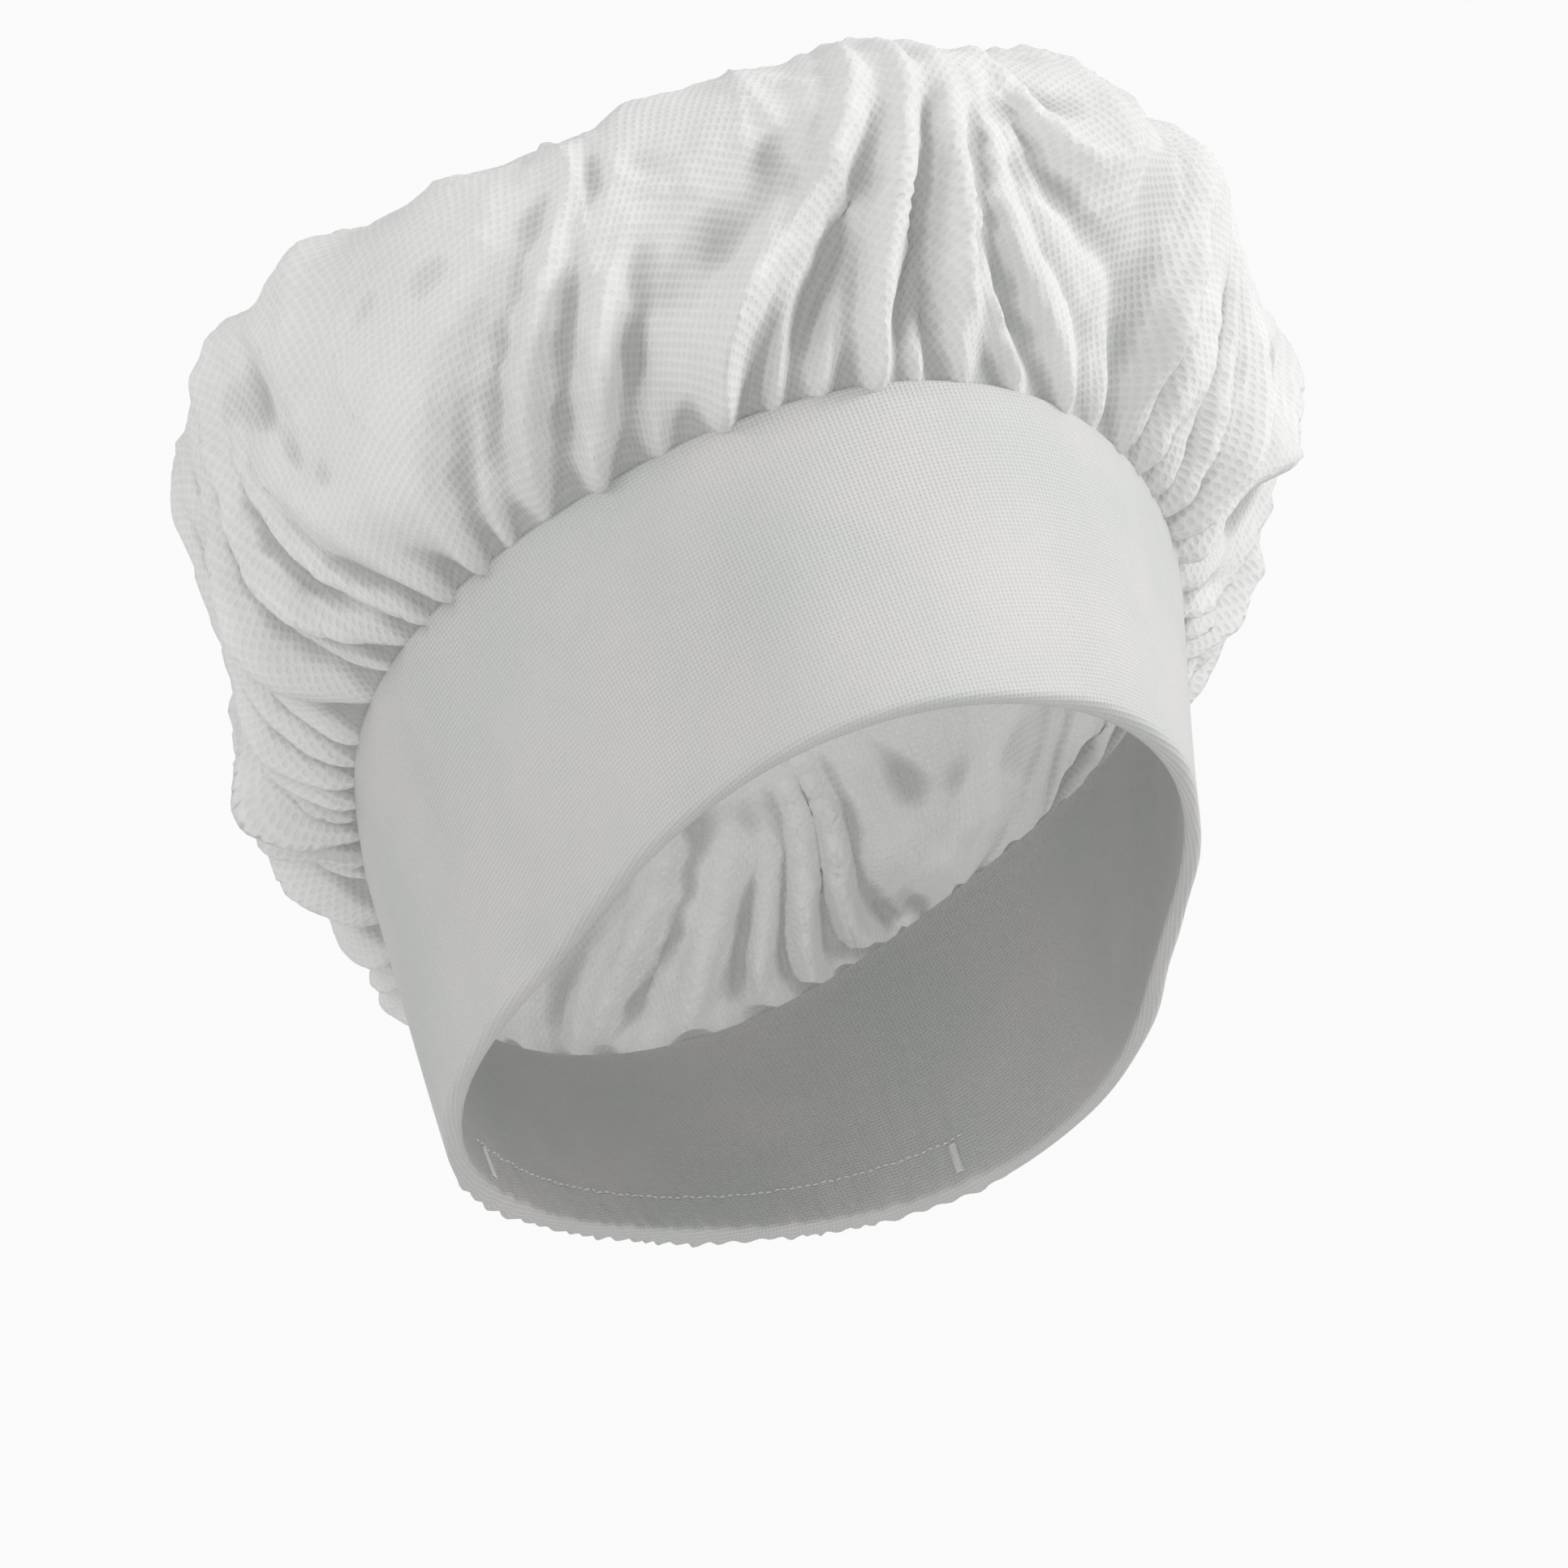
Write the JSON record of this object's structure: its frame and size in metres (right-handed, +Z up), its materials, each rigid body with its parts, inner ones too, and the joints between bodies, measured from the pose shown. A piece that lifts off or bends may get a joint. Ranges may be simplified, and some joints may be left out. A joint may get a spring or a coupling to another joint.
{
  "type": "chef toque",
  "caption": "Soft white mushroom chef toque: a puffed crown gathered into a deep folded headband with an elastic back.",
  "frame": {"origin": "centre of the head opening, in the plane of the hem", "axes": "+Z up the band's axis towards the crown, -Y towards the front, +X towards the wearer's left"},
  "size_m": [0.2421, 0.2649, 0.178],
  "materials": {
    "crown_nonwoven": "thin, point-bonded, slightly see-through",
    "band_nonwoven": "matt, fine woven-look embossing",
    "elastic": "ribbed braid",
    "thread": "soft spun thread"
  },
  "bodies": {
    "root": {"crown": "crown_nonwoven", "headband": "band_nonwoven", "interlining": "band_nonwoven", "rear_elastic": "elastic", "gathering_thread": "thread", "overlock_thread": "thread", "back_seam_thread": "thread", "casing_thread": "thread", "elastic_bar_tacks": "thread"}
  },
  "joints": []
}
